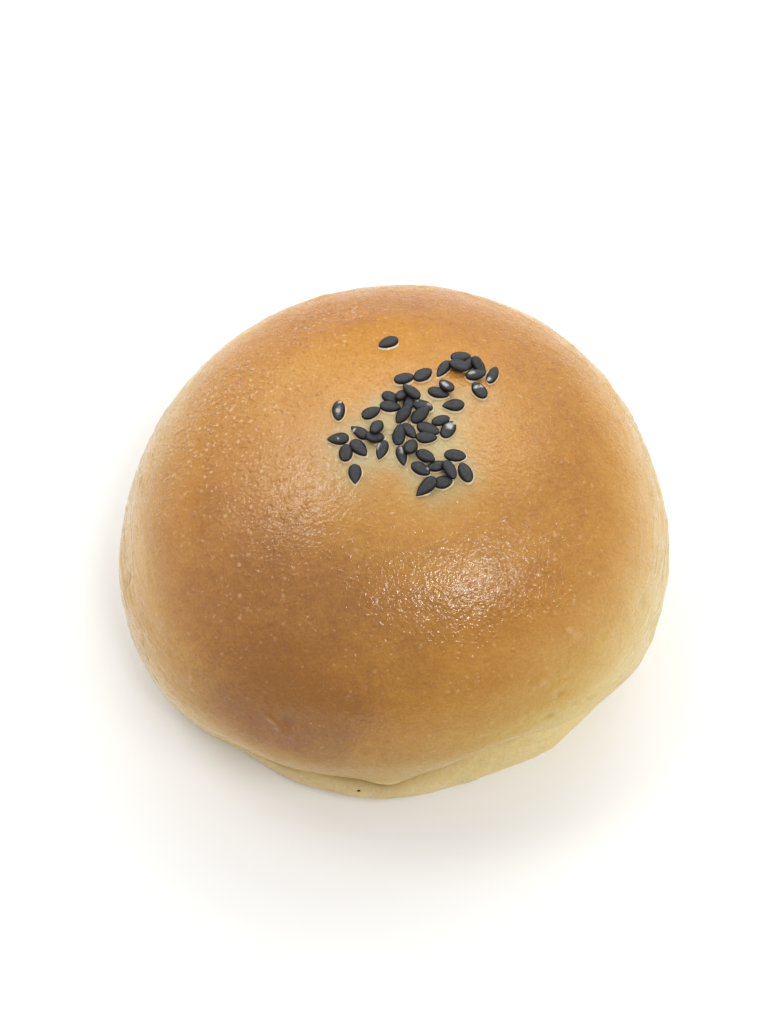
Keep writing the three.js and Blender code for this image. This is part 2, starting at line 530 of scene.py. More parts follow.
# The same for the lip and the foot, with levels counted from the crease.
CREASE_TINTS = (
    (272, 50, (4, 8, 12, 22), (0.95, 1, 0.74)),
    (266, 24, (5, 8, 14, 20), (0.87, 0.86, 0.95)),
    (272, 32, (-12, -10, -0.5, 0.5), (0.89, 0.86, 0.76)),
    (306, 26, (-15, -13, -0.5, 0.5), (1.15, 1.18, 1.08)),
    (298, 24, (4, 8, 14, 22), (0.97, 0.93, 0.75)),
)

# The crust stayed pale and damp by the seeds, but for the first two, which lie alone: each seed's
# reach and share, the most they add up to, how ragged that is, as (size, share, number), and
# where it fades out towards the back.
LONE_SEEDS = 2
SEED_REACH = 3.0
SEED_SHARE = 0.4
SEED_PATCH_SHARE = 0.9
SEED_PATCH_RAGGED = (2.5, 0.4, 43)
SEED_PATCH_ENDS = (3, 9)

# Where blisters are crowded, as (azimuth, level, reach, share), and the levels where they start.
BLISTER_PLACES = (
    (165, 40, 16, 0.75),
    (200, 44, 10, 0.5),
    (228, 41, 10, 0.33),
    (115, 43, 10, 0.5),
    (262, 37, 8, 0.2),
    (315, 41, 10, 0.35),
    (285, 36, 9, 0.2),
)
BLISTERS_ELSEWHERE = 0.06
BLISTERS_START = (8, 22)

# How pebbly the skin is low down, the levels where that grows, and its pebblier side.
PEBBLES_LOW_DOWN = 0.45
PEBBLES_GROW = (22, 38)
PEBBLIER_SIDE = (125, 70, 0.6)

# How far above the crease and the table the egg wash starts, and where it is thinner.
WASH_ABOVE_CREASE = (2, 13)
WASH_LEVELS = (5, 14)
THIN_WASH = (95, 50, 0.5)
THIN_WASH_LEVELS = (43, 45, 46.5, 47.5)


def browning_and_shade(points, azimuth, level):
    """How browned the crust is, from 0, raw dough, to 1, with painted shade added on the front left
    side.
    """
    share = np.interp(level, BROWNING_LEVELS, BROWNING_SHARES)
    # The front left side: partly browned more, partly painted with shade.
    spread = np.where((azimuth - DARKEST_AZIMUTH) % 360 > 180, *DARKER_SPREADS)
    darker = bump(azimuth, DARKEST_AZIMUTH, spread)
    share = share + darker * np.interp(level, DARKER_LEVELS, DARKER_SHARES)
    for middle, spread, levels, more in BROWNING_PATCHES:
        share = share + more * bump(azimuth, middle, spread) * window(levels, level)
    share = share + unevenness(points, *UNEVEN_BROWNING)
    return np.clip(np.where(level > 0, share, UNDERSIDE_BROWNING), 0, 1)


def tint(azimuth, level):
    """What the crust's colour is multiplied by, as rows of red, green, blue and alpha."""
    product = np.ones((len(azimuth), 4))
    for tints, height in ((TINTS, level), (CREASE_TINTS, above_crease(azimuth, level))):
        for middle, spread, levels, colour in tints:
            share = (bump(azimuth, middle, spread) * window(levels, height))[:, None]
            product[:, :3] *= 1 + share * (np.array(colour) - 1)
    return product


def seed_patch(points):
    """Where the crust round the seeds stayed pale and damp."""
    x, y, level = points.T
    share = np.zeros(len(points))
    for seed in SEEDS[LONE_SEEDS:]:
        share += SEED_SHARE * hump(np.hypot(x - seed[0], y - seed[1]), SEED_REACH)
    ragged = 1 + unevenness(points, SEED_PATCH_RAGGED)
    front = 1 - rise(*SEED_PATCH_ENDS, y)
    return np.clip(share * ragged, 0, 1) * front * SEED_PATCH_SHARE * (level > WIDEST_LEVEL)


def blister_crowding(points):
    """How crowded the blisters are, from 0 to 1."""
    share = np.full(len(points), BLISTERS_ELSEWHERE)
    for azimuth, level, reach, most in BLISTER_PLACES:
        share = np.maximum(share, most * hump(distance_from(points, azimuth, level), reach))
    return share * rise(*BLISTERS_START, points[:, 2])


def eggwash(azimuth, level):
    """How much egg wash the crust carries: all over the dome, less at the back, none on the foot."""
    thinner = total_depth([THIN_WASH], azimuth) * window(THIN_WASH_LEVELS, level)
    upper = rise(*WASH_ABOVE_CREASE, above_crease(azimuth, level))
    return upper * rise(*WASH_LEVELS, level) * (1 - thinner)


def pebbling(azimuth, level):
    """How pebbly the skin is: fully on the dome, most at its back left, and less low down."""
    growth = 1 - PEBBLES_LOW_DOWN + total_depth([PEBBLIER_SIDE], azimuth)
    return PEBBLES_LOW_DOWN + growth * rise(*PEBBLES_GROW, level)


def add_values(mesh, values_by_name):
    """Keeps one number or one colour for each vertex under each name, for a material to read."""
    for name, values in values_by_name.items():
        kind, key = ("FLOAT", "value") if values.ndim == 1 else ("FLOAT_COLOR", "color")
        data = mesh.attributes.new(name, kind, "POINT").data
        data.foreach_set(key, values.astype(np.float32).ravel())


def new_mesh(name, points, faces):
    """A mesh from points in mm."""
    mesh = bpy.data.meshes.new(name)
    mesh.from_pydata((np.array(points) * MM).tolist(), [], faces)
    return mesh


def new_object(mesh, material):
    """A smooth-shaded piece in the scene, named as its mesh."""
    mesh.polygons.foreach_set("use_smooth", [True] * len(mesh.polygons))
    mesh.materials.append(material)
    piece = bpy.data.objects.new(mesh.name, mesh)
    bpy.context.scene.collection.objects.link(piece)
    return piece


def make_crust(material):
    """The bun's crust, and how far its middle lies from the axis of the form."""
    rings = crust_rings()
    azimuth, points = (np.concatenate(parts) for parts in zip(*rings))
    level = points[:, 2]
    middle = (points.min(axis=0) + points.max(axis=0)) / 2
    middle[2] = 0
    faces = []
    first = 0
    for (ring, _), (following, _) in zip(rings, rings[1:]):
        second = first + len(ring)
        faces += stitch(first, len(ring), second, len(following))
        first = second
    mesh = new_mesh("bun_crust", points - middle, faces)
    mesh.update()
    normals = np.empty(3 * len(points), np.float32)
    mesh.vertex_normals.foreach_get("vector", normals)
    relief = crust_relief(points, azimuth, level)
    placed = (points - middle + relief[:, None] * normals.reshape(-1, 3)) * MM
    mesh.vertices.foreach_set("co", placed.astype(np.float32).ravel())
    looks = {
        "browning_and_shade": browning_and_shade(points, azimuth, level),
        "tint": tint(azimuth, level),
        "seed_patch": seed_patch(points),
        "blister_crowding": blister_crowding(points),
        "eggwash": eggwash(azimuth, level),
        "pebbling": pebbling(azimuth, level),
        "crinkling": crinkling(azimuth, level),
        "folds": folds(points, azimuth, level),
        "marks": marks(points),
        "painted_crease_shade": painted_crease_shade(azimuth, level),
    }
    add_values(mesh, looks)
    mesh.update()
    return new_object(mesh, material), middle


# ---- materials
def connect(node, inputs):
    """Gives each input a plain value or another node's output socket."""
    for name, value in inputs.items():
        socket = node.inputs[name]
        if isinstance(value, bpy.types.NodeSocket):
            node.id_data.links.new(value, socket)
        else:
            socket.default_value = (*value, 1) if socket.type == "RGBA" else value


def make_node(tree, kind, inputs, **settings):
    """A new shader node with its inputs and settings."""
    node = tree.nodes.new("ShaderNode" + kind)
    for name, value in settings.items():
        setattr(node, name, value)
    connect(node, inputs)
    return node


# The functions from here to bumpy_normal add their node to the tree of the socket given first.
def maths(operation, first, *others):
    inputs = dict(enumerate((first, *others)))
    return make_node(first.id_data, "Math", inputs, operation=operation).outputs[0]


def times(first, second):
    return maths("MULTIPLY", first, second)


def weighted_sum(terms, total=0.0):
    """The total with each term added to it, given as (value, weight)."""
    for value, weight in terms:
        total = maths("MULTIPLY_ADD", value, weight, total)
    return total


def vector_maths(operation, first, second, output="Vector"):
    """The second is a number in a SCALE operation and a vector in the others."""
    inputs = {0: first, "Scale" if operation == "SCALE" else 1: second}
    return make_node(first.id_data, "VectorMath", inputs, operation=operation).outputs[output]


def remap(value, start, end, low=0.0, high=1.0):
    """Takes start to low and end to high, smoothly."""
    inputs = {"Value": value, "From Min": start, "From Max": end, "To Min": low, "To Max": high}
    node = make_node(value.id_data, "MapRange", inputs, interpolation_type="SMOOTHSTEP")
    return node.outputs["Result"]


def noise_value(place, per_mm, detail=2.0, distortion=0.0, output="Fac"):
    inputs = {"Vector": place, "Scale": per_mm, "Detail": detail, "Distortion": distortion}
    return make_node(place.id_data, "TexNoise", inputs).outputs[output]


def ramp(value, stops):
    """A colour ramp through (position, colour) stops."""
    node = make_node(value.id_data, "ValToRGB", {"Fac": value})
    while len(node.color_ramp.elements) < len(stops):
        node.color_ramp.elements.new(0.5)
    for element, (position, colour) in zip(node.color_ramp.elements, stops):
        element.position = position
        element.color = (*colour, 1)
    return node.outputs["Color"]


def blend_colour(first, share, second, blend_type="MIX"):
    inputs = {"Factor": share, 6: first, 7: second}
    node = make_node(first.id_data, "Mix", inputs, data_type="RGBA", blend_type=blend_type)
    return node.outputs[2]


def bumpy_normal(height):
    """The normal of a surface with bumps of a height given in mm."""
    inputs = {"Height": height, "Distance": MM}
    return make_node(height.id_data, "Bump", inputs).outputs["Normal"]


def attribute(tree, name, output="Fac"):
    return make_node(tree, "Attribute", {}, attribute_name=name).outputs[output]


def millimetre_place(tree):
    """The object's own coordinates in millimetres."""
    place = make_node(tree, "TexCoord", {}).outputs["Object"]
    return vector_maths("SCALE", place, 1 / MM)


def new_material(name):
    """A material, its nodes and its Principled shader."""
    material = bpy.data.materials.new(name)
    material.use_nodes = True
    return material, material.node_tree, material.node_tree.nodes["Principled BSDF"]


CRUST_COLOURS = (
    (0, (0.76, 0.61, 0.35)),
    (0.15, (0.735, 0.55, 0.27)),
    (0.4, (0.665, 0.425, 0.15)),
    (0.55, (0.608, 0.352, 0.108)),
    (0.685, (0.545, 0.288, 0.074)),
    (0.78, (0.493, 0.241, 0.055)),
    (0.89, (0.405, 0.187, 0.046)),
    (1, (0.325, 0.143, 0.041)),
)

# Noise in a material is (features per mm, detail, distortion), or only the first two of these.
# How mottled the browning is, each noise with its share.
MOTTLES = ((0.16, 3, 0.05), (0.7, 3, 0.18), (2, 3, 0.2), (4.5, 3, 0.2))

# Blisters as (distance between them, radius), and their crookedness as noise and twice the most
# that a place is shifted.
BLISTERS = (1.3, 0.5)
SMALL_BLISTERS = (0.75, 0.3)
CROOKED = (1.3, 1)
CROOKED_SHIFT = 0.5

# Crinkle lines: how they are drawn out, their noise, their width in it and the share of their pale
# colour, a painted highlight along them.
CRINKLE_STRETCH = (0.08, 0.08, 0.6)
CRINKLE_NOISE = (1, 0.5, 0.15)
CRINKLE_WIDTH = 0.045
CRINKLE_HIGHLIGHT_SHARE = 0.35

# Knobs in the skin: their noise, what crowding adds to it, and where they rise.
KNOBS = (0.95, 1, 0.15)
KNOB_CROWDING = 0.2
KNOBS_RISE = (0.62, 0.84)

# Colours and shades laid over the crust, and how each shows: (start, end, low share, high share).
SEED_PATCH_COLOUR = (0.50, 0.405, 0.2)
# Ridges are painted paler, a painted highlight where they catch the light, and valleys darker, painted
# shade.
RIDGE_HIGHLIGHT_COLOUR = (0.88, 0.72, 0.44)
RIDGE_HIGHLIGHTS_SHOW = (0.55, 1, 0, 0.6)
VALLEY_SHADE_COLOUR = (0.42, 0.28, 0.1)
VALLEY_SHADES_SHOW = (0.45, 0, 0, 0.2)
# Painted shade in the crease under the lip.
CREASE_SHADE_COLOUR = (0.17, 0.10, 0.035)
CREASE_SHADE_SHARE = 0.95
SPECKLES = (2.6, 2)
SPECKLE_SHADE = (0.8, 0.76, 0.7)
SPECKLES_SHOW = (0.35, 0.65, 0, 0.3)
# Blister tips and raised marks are painted paler, partly their own colour and partly a painted
# highlight of the light they catch.
BLISTER_AND_HIGHLIGHT_COLOUR = (0.95, 0.66, 0.36)
TIP_HIGHLIGHTS_SHOW = (0.06, 0.6, 0.18, 0.5)
MARK_HIGHLIGHTS_SHOW = (0.1, 1, 0, 0.22)
# Dimples are painted darker, as painted shade in their hollows.
DIMPLE_PAINTED_SHADE = (0.72, 0.66, 0.52)
DIMPLE_SHADES_SHOW = (-0.1, -1, 0, 0.4)

# The heights of bumps, in the skin with the noises of its pebbles, orange peel and grain. Blisters
# swell with their crowding.
SKIN = ((0.9, 2, 0.5, 0.1), (1.9, 1, 0.2, 0.08), (4, 1, 0.3, 0.025))
KNOB_HEIGHT = 0.08
CRINKLE_HEIGHT = 0.15
FOLD_BUMP = 0.2
BLISTER_HEIGHTS = (0.14, 0.08)
BLISTERS_SWELL = (0.06, 0.5, 0.3, 1)

# The egg wash makes the crust smoother, and its coat is broken here and there by noise.
WASH_SMOOTHS = (0, 1, 0.75, 0.42)
COAT_BREAKS = (2.4, 2, 0.5)
COAT_BROKEN = (0.4, 0.6, 0.6, 1)


def blister_height(place, crowding, cell, radius):
    """Round bumps scattered at random, from 0 to 1 high, as crowded as crowding says."""
    tree = place.id_data
    cells = make_node(tree, "TexVoronoi", {"Vector": place, "Scale": 1 / cell})
    height = remap(cells.outputs["Distance"], radius / cell, 0.0)
    parts = make_node(tree, "SeparateColor", {"Color": cells.outputs["Color"]})
    return times(height, maths("LESS_THAN", parts.outputs["Red"], crowding))


def crooked_place(place):
    """The place shifted at random, so that round shapes come out crooked."""
    shift = noise_value(place, *CROOKED, output="Color")
    return vector_maths("ADD", place, vector_maths("SCALE", shift, CROOKED_SHIFT))


def crinkle_lines(place):
    """Thin lines that run round the bun, from 0 to 1."""
    drawn_out = vector_maths("MULTIPLY", place, CRINKLE_STRETCH)
    from_middle = maths("SUBTRACT", noise_value(drawn_out, *CRINKLE_NOISE), 0.5)
    line = remap(maths("ABSOLUTE", from_middle), CRINKLE_WIDTH, 0.0)
    return times(line, attribute(place.id_data, "crinkling"))


def crust_colour(place, crowding, blisters, lines):
    """The browned crust, with everything that is paler or darker laid over it in turn."""
    tree = place.id_data
    mottles = [
        (maths("SUBTRACT", noise_value(place, *pattern), 0.5), share) for *pattern, share in MOTTLES
    ]
    browned = weighted_sum(mottles, attribute(tree, "browning_and_shade"))
    colour = ramp(browned, CRUST_COLOURS)
    fold = attribute(tree, "folds")
    marked = attribute(tree, "marks")
    speckled = remap(noise_value(place, *SPECKLES), *SPECKLES_SHOW)
    pale_tips_and_highlights = times(maths("MAXIMUM", *blisters), remap(crowding, *TIP_HIGHLIGHTS_SHOW))
    layers = (
        # tints: the crust's own tone, and painted sheen on the left side and at the rims
        (1.0, attribute(tree, "tint", "Color"), "MULTIPLY"),
        (attribute(tree, "seed_patch"), SEED_PATCH_COLOUR),
        # painted highlight on ridges and crinkle lines, painted shade in valleys
        (remap(fold, *RIDGE_HIGHLIGHTS_SHOW), RIDGE_HIGHLIGHT_COLOUR),
        (remap(fold, *VALLEY_SHADES_SHOW), VALLEY_SHADE_COLOUR),
        (times(lines, CRINKLE_HIGHLIGHT_SHARE), RIDGE_HIGHLIGHT_COLOUR),
        (speckled, SPECKLE_SHADE, "MULTIPLY"),
        # painted shade in the crease
        (times(attribute(tree, "painted_crease_shade"), CREASE_SHADE_SHARE), CREASE_SHADE_COLOUR),
        # paler blister tips and raised marks, partly painted highlight
        (pale_tips_and_highlights, BLISTER_AND_HIGHLIGHT_COLOUR),
        (remap(marked, *MARK_HIGHLIGHTS_SHOW), BLISTER_AND_HIGHLIGHT_COLOUR),
        # painted shade in the dimples
        (remap(marked, *DIMPLE_SHADES_SHOW), DIMPLE_PAINTED_SHADE, "MULTIPLY"),
    )
    for layer in layers:
        colour = blend_colour(colour, *layer)
    return colour


def crust_bumps(place, crowding, blisters, lines):
    """The height of everything on the crust that is too fine for its mesh, in mm."""
    tree = place.id_data
    knobs = weighted_sum([(crowding, KNOB_CROWDING)], noise_value(place, *KNOBS))
    skin = [(noise_value(place, *pattern), height) for *pattern, height in SKIN]
    skin.append((remap(knobs, *KNOBS_RISE), KNOB_HEIGHT))
    height = times(weighted_sum(skin), attribute(tree, "pebbling"))
    swollen = remap(crowding, *BLISTERS_SWELL)
    bumps = [(times(bump, swollen), high) for bump, high in zip(blisters, BLISTER_HEIGHTS)]
    others = [(lines, CRINKLE_HEIGHT), (attribute(tree, "folds"), FOLD_BUMP)]
    return weighted_sum(others + bumps, height)


def crust_material():
    material, tree, shader = new_material("bun_crust")
    place = millimetre_place(tree)
    crowding = attribute(tree, "blister_crowding")
    crooked = crooked_place(place)
    blisters = [blister_height(crooked, crowding, *kind) for kind in (BLISTERS, SMALL_BLISTERS)]
    surface = (place, crowding, blisters, crinkle_lines(place))
    normal = bumpy_normal(crust_bumps(*surface))
    washed = attribute(tree, "eggwash")
    whole = remap(noise_value(place, *COAT_BREAKS), *COAT_BROKEN)
    inputs = {
        "Base Color": crust_colour(*surface),
        "Roughness": remap(washed, *WASH_SMOOTHS),
        "Coat Weight": times(washed, whole),
        "Coat Roughness": 0.13,
        "Normal": normal,
        "Coat Normal": normal,
        "Specular IOR Level": 0.0,
        "Subsurface Weight": 0.05,
        "Subsurface Radius": (1.0, 0.5, 0.2),
        "Subsurface Scale": 1.2 * MM,
    }
    connect(shader, inputs)
    return material


# A seed's hull is mottled and bumpy, with painted shade on its rim, and pale flecks on it shine: partly
# dried wash and partly painted glints.
SESAME_MOTTLES = (2.2, 3)
SESAME_COLOURS = ((0.3, (0.026, 0.028, 0.031)), (0.7, (0.046, 0.049, 0.052)))
# The seed's rim is painted darker, as painted shade where its sides turn from the light.
SESAME_RIM_SHADE = (0.008, 0.006, 0.005)
SESAME_BUMPS = (3, 3)
SESAME_BUMP_HEIGHT = 0.07
FLECK_AND_GLINT_COLOUR = (0.50, 0.50, 0.47)
FLECK_AND_GLINT_SHARE = 0.9
FLECK_HEIGHT = 0.03
FLECKS_SHINE = (0.1, 0.9, 0.5, 0.25)


def sesame_material():
    material, tree, shader = new_material("sesame")
    place = millimetre_place(tree)
    hull = ramp(noise_value(place, *SESAME_MOTTLES), SESAME_COLOURS)
    hull = blend_colour(hull, attribute(tree, "rim"), SESAME_RIM_SHADE)
    fleck = attribute(tree, "fleck")
    bumps = [(noise_value(place, *SESAME_BUMPS), SESAME_BUMP_HEIGHT), (fleck, FLECK_HEIGHT)]
    inputs = {
        # pale flecks: dried wash and painted glints
        "Base Color": blend_colour(hull, times(fleck, FLECK_AND_GLINT_SHARE), FLECK_AND_GLINT_COLOUR),
        "Roughness": remap(fleck, *FLECKS_SHINE),
        "Normal": bumpy_normal(weighted_sum(bumps)),
        "Specular IOR Level": 0.3,
    }
    connect(shader, inputs)
    return material


def plain_material(name, colour, roughness, specular):
    material, _, shader = new_material(name)
    connect(shader, {"Base Color": colour, "Roughness": roughness, "Specular IOR Level": specular})
    return material


def egg_wash_material():
    return plain_material("dried_egg_wash", colour=(0.84, 0.68, 0.42), roughness=0.25, specular=0.5)


SPECK_MOTTLES = (9, 2)
SPECK_COLOURS = ((0.3, (0.012, 0.009, 0.007)), (0.7, (0.045, 0.03, 0.02)))


def speck_material():
    material, tree, shader = new_material("dark_speck")
    mottled = noise_value(millimetre_place(tree), *SPECK_MOTTLES)
    connect(shader, {"Base Color": ramp(mottled, SPECK_COLOURS), "Roughness": 0.8})
    return material


# ---- the sesame seeds
SEED_THICKNESS = 0.9
SEED_SINKS = 0.1
SEED_RINGS = 26
SEED_SIDES = 22

# How bluntly a seed thins towards its outline, and how square its section is across and upwards.
SEED_THINS = 0.6
SEED_SQUARENESS = (0.85, 0.8)

# Where a seed feels for what lies under it, as shares of its half length and half width, the share
# of its width over which it rolls, and from how high anything is felt.
FEELERS_ALONG = (-0.75, -0.4, 0, 0.4, 0.75)
FEELERS_ACROSS = (-0.55, 0, 0.55)
ROLL_SPAN = 0.7
STEEPEST_SLOPE = math.tan(math.radians(20))
FEELER_HEIGHT = 6
DOWN = Vector((0, 0, -1))

# What the random draws start from, how much seeds rock along and across, how uneven they are, as
# (size, share, first number), and how many numbers there are for that.
DRAWS_START = 7
ROCKING = (0.05, 0.08)
SEED_UNEVENNESS = (1.2, 0.05, 60)
SEED_PATTERNS = 500

# The taper of a seed's round end.
ROUND_END = 0.5

# Each seed: x, y, heading of its tip, length, width, taper of its tip and pale flecks, partly of dried
# wash and partly painted glints of light. The more the taper, the sharper the tip.
# A fleck is (along, across, half its length, half its width); along runs from -1 at the round end
# to 1 at the tip, and across from -1 at the right edge to 1 at the left edge.
# Seeds are laid down in this order, and a seed that meets another comes to rest on it.
SEEDS = (
    # alone at the back, and alone at the left
    (-1, 15.9, 212, 3.4, 2.3, 0.68),
    (-8.3, 2.2, 270, 3.5, 2, 0.6, (0.05, 0, 0.8, 0.22), (-0.75, 0.2, 0.25, 0.3)),
    # the arc at the back right
    (10, 13.2, 19, 3.3, 2.3, 0.56),
    (7.3, 10.3, 240, 3.9, 1.7, 0.72),
    (11.3, 11.9, 59, 3.6, 1.8, 0.6),
    (9.6, 10.6, 336, 3.2, 2.4, 0.58),
    (12.6, 11.1, 311, 3.5, 2, 0.74),
    (12.1, 9.4, 12, 3.2, 2, 0.6, (-0.4, 0.3, 0.6, 0.17)),
    (14.8, 10.1, 67, 3.9, 1.7, 0.62, (-0.75, 0.3, 0.35, 0.3)),
    (12.6, 6.6, 116, 3.3, 2.3, 0.58, (0.3, 0.35, 0.25, 0.35), (0.2, -0.4, 0.3, 0.3)),
    # a pair behind the middle, and three to the right of it
    (1.4, 8.1, 20, 3.2, 2.1, 0.62),
    (4.2, 8.9, 42, 3.3, 2.3, 0.55),
    (6.4, 5.4, 345, 3.3, 2, 0.58),
    (7.6, 6.5, 117, 3.4, 2, 0.62, (-0.05, 0.25, 0.85, 0.27)),
    (8.6, 3.2, 189, 3.4, 2.1, 0.76),
    # the middle heap, back
    (-0.7, 2.7, 351, 3.2, 2, 0.62),
    (-0.7, 4.4, 325, 2.8, 2, 0.6),
    (-3.5, 1.6, 31, 3.2, 2, 0.68, (-0.4, 0.3, 0.1, 0.1)),
    (1, 4.5, 63, 3.1, 1.7, 0.6),
    (2, 3.1, 260, 3.5, 1.7, 0.6),
    (2.4, 5, 139, 3.3, 2.1, 0.7),
    (1.2, 0.9, 231, 3.3, 1.9, 0.62),
    (4.1, 2.8, 341, 3.1, 2.1, 0.58, (-0.75, 0.5, 0.27, 0.25), (0.5, 0.3, 0.5, 0.14),
     (0.6, -0.3, 0.2, 0.18)),
    (3.7, 0.9, 42, 3.5, 2.1, 0.6),
    # the middle heap, front
    (2.1, -1.7, 303, 3, 1.7, 0.62),
    (0.6, -2.5, 81, 3.4, 2, 0.74),
    (1, -5.9, 281, 3.3, 1.7, 0.84, (-0.45, 0.1, 0.5, 0.24)),
    (2.3, -4.6, 70, 3.2, 2.1, 0.58),
    (4.6, -2.8, 2, 3.2, 1.9, 0.7),
    (6.7, 0.3, 23, 2.9, 1.7, 0.58),
    (4.8, -1.3, 342, 3.5, 2.1, 0.6),
    (7.8, -1.2, 59, 3.3, 2.1, 0.56, (0.2, 0.15, 0.6, 0.5), (0.75, -0.2, 0.35, 0.2)),
    # the left group
    (-8.3, -2.8, 177, 3.3, 2, 0.8, (-0.1, 0.2, 0.12, 0.1)),
    (-7.1, -5.2, 86, 2.9, 2.1, 0.6),
    (-5.2, -1.8, 140, 3.3, 1.8, 0.82, (0.45, 0.4, 0.2, 0.35)),
    (-5.2, -4.5, 308, 3.5, 2.1, 0.7),
    (-2.9, -2.9, 8, 3, 1.9, 0.6),
    (-2.6, -1.5, 66, 3.1, 1.9, 0.54),
    (-1.9, -4.9, 253, 3.3, 1.8, 0.78, (-0.2, -0.7, 0.6, 0.2)),
    (-5.7, -8.8, 271, 3.2, 2, 0.86),
    # the front group
    (6.2, -7.4, 14, 3, 1.7, 0.6),
    (4.4, -6, 326, 3.2, 1.9, 0.66),
    (3.7, -7.9, 331, 3.1, 2, 0.6, (0.6, 0.5, 0.18, 0.18)),
    (6.9, -9.9, 17, 2.9, 2, 0.55),
    (8.7, -5.6, 356, 3.3, 2, 0.62),
    (7.8, -8.2, 294, 3.2, 2, 0.62),
    (10.1, -8.2, 111, 3.3, 2.1, 0.62),
    (4.4, -10.8, 223, 3.9, 2, 0.84),
)

# How ragged the edge of a fleck is, as (size, share, first number), where it ends, and how far
# down it reaches.
FLECK_RAGGED = (0.35, 0.45, 70)
FLECK_EDGE = (0.7, 1.25)
FLECK_BOTTOM = -0.1

# Where the painted shade on a seed's rim starts and is darkest, across it and towards its ends, and the
# farthest along where its width is still measured.
RIM_ACROSS = (0.5, 0.9)
RIM_ALONG = (0.85, 0.99)
RIM_LIMIT = 0.999

# The fillet of egg wash round a seed: its reach, how uneven that is, as (size, share, first
# number), its least share, and its section going outwards as (share of the reach, height), closed
# by a point under the seed. It thins and sinks where the seed's edge stands so high above the crust.
WASH_REACH = 0.14
WASH_UNEVENNESS = (1.1, 1.6, 300)
WASH_LEAST = 0.3
WASH_PROFILE = ((-1, 0.3), (0, 0.2), (0.35, 0.1), (0.7, 0.04), (1.1, -0.03), (-1, -0.15))
WASH_ENDS = (0.9, 0.45)
WASH_SINKS = 0.06



def half_width(along, taper):
    """A seed's outline: its half width, at most 1, from its round end at -1 to its tip at 1."""
    widest = (ROUND_END - taper) / (ROUND_END + taper)
    most = (1 + widest) ** ROUND_END * (1 - widest) ** taper
    return np.maximum(0, 1 + along) ** ROUND_END * np.maximum(0, 1 - along) ** taper / most


def squared_off(value, power):
    """A sine or cosine that stays near its ends for longer, the lower the power is."""
    return np.sign(value) * np.abs(value) ** power


def seed_points(length, width, taper):
    """One seed lying flat with its tip towards +X, as rings between its two ends."""
    along = -np.cos(np.linspace(0, math.pi, SEED_RINGS + 2))[1:-1, None]
    turn = 2 * math.pi * np.arange(SEED_SIDES) / SEED_SIDES
    wide = half_width(along, taper)
    x = np.repeat(along * length / 2, SEED_SIDES, axis=1)
    y = squared_off(np.cos(turn), SEED_SQUARENESS[0]) * wide * width / 2
    z = squared_off(np.sin(turn), SEED_SQUARENESS[1]) * wide**SEED_THINS * SEED_THICKNESS / 2
    sides = np.stack([x, y, z], axis=2).reshape(-1, 3)
    return np.concatenate([[[-length / 2, 0, 0]], sides, [[length / 2, 0, 0]]])


def seed_faces():
    last = 1 + SEED_RINGS * SEED_SIDES
    faces = stitch(1, SEED_SIDES, 0, 1) + stitch(last, 1, last - SEED_SIDES, SEED_SIDES)
    for first in range(1, last - SEED_SIDES, SEED_SIDES):
        faces += band(first, first + SEED_SIDES, SEED_SIDES)
    return faces


def support(pile, spot, normal):
    """How high above a spot, along the normal, the pile reaches."""
    start = spot + normal * FEELER_HEIGHT
    falls = [tree.ray_cast(start, -normal, 2 * FEELER_HEIGHT)[3] for tree in pile]
    return FEELER_HEIGHT - min(fall for fall in falls if fall is not None)


def gentle(slope):
    """The slope, but no steeper than a seed can lie."""
    return float(np.clip(slope, -STEEPEST_SLOPE, STEEPEST_SLOPE))


def settle(pile, spot, along, across, normal, outline):
    """Where a flat seed comes to rest on the pile: its lift, and its slopes along and across."""
    length, width, taper = outline
    touches = []
    for u in FEELERS_ALONG:
        for v in FEELERS_ACROSS:
            x = u * length / 2
            y = v * float(half_width(u, taper)) * width / 2
            touches.append((x, y, support(pile, spot + along * x + across * y, normal)))
    x, y, heights = np.array(touches).T
    tip = np.argmax(np.where(x > 0, heights, -np.inf))
    root = np.argmax(np.where(x < 0, heights, -np.inf))
    pitch = gentle((heights[tip] - heights[root]) / (x[tip] - x[root]))
    level = heights - pitch * x
    roll = gentle((level[y > 0].max() - level[y < 0].max()) / (ROLL_SPAN * width))
    return float((level - roll * y).max()), pitch, roll


def place_seed(pile, middle, seed, flat, draw):
    """The seed's points as it comes to rest on the pile."""
    x, y, heading, *outline = seed[:6]
    above = Vector((x - middle[0], y - middle[1], HEIGHT + FEELER_HEIGHT))
    spot, normal, _, _ = pile[0].ray_cast(above, DOWN)
    along = direction(heading, 0)
    along = (along - normal * along.dot(normal)).normalized()
    across = normal.cross(along)
    lift, pitch, roll = settle(pile, spot, along, across, normal, outline)
    pitch, roll = (slope + draw.uniform(-rock, rock) for slope, rock in zip((pitch, roll), ROCKING))
    along = (along + normal * pitch).normalized()
    across = (across + normal * roll).normalized()
    upward = along.cross(across).normalized()
    axes = np.array([along, upward.cross(along), upward])
    centre = spot + normal * (lift + SEED_THICKNESS / 2 - SEED_SINKS)
    uneven = 1 + own_unevenness(flat, SEED_UNEVENNESS, draw.randrange(SEED_PATTERNS))
    return (flat * uneven[:, None]) @ axes + np.array(centre)


def fleck_share(flat, seed, number):
    """Where pale flecks sit on the upper side of one seed: partly dried wash, partly painted glints."""
    _, _, _, length, width, _, *flecks = seed
    x, y, up = flat.T
    ragged = own_unevenness(flat, FLECK_RAGGED, number)
    share = np.zeros(len(flat))
    for along, across, half_long, half_wide in flecks:
        away = np.hypot((x - along * length / 2) / half_long, (y - across * width / 2) / half_wide)
        share = np.maximum(share, (1 - rise(*FLECK_EDGE, away + ragged)) * (up > FLECK_BOTTOM))
    return share


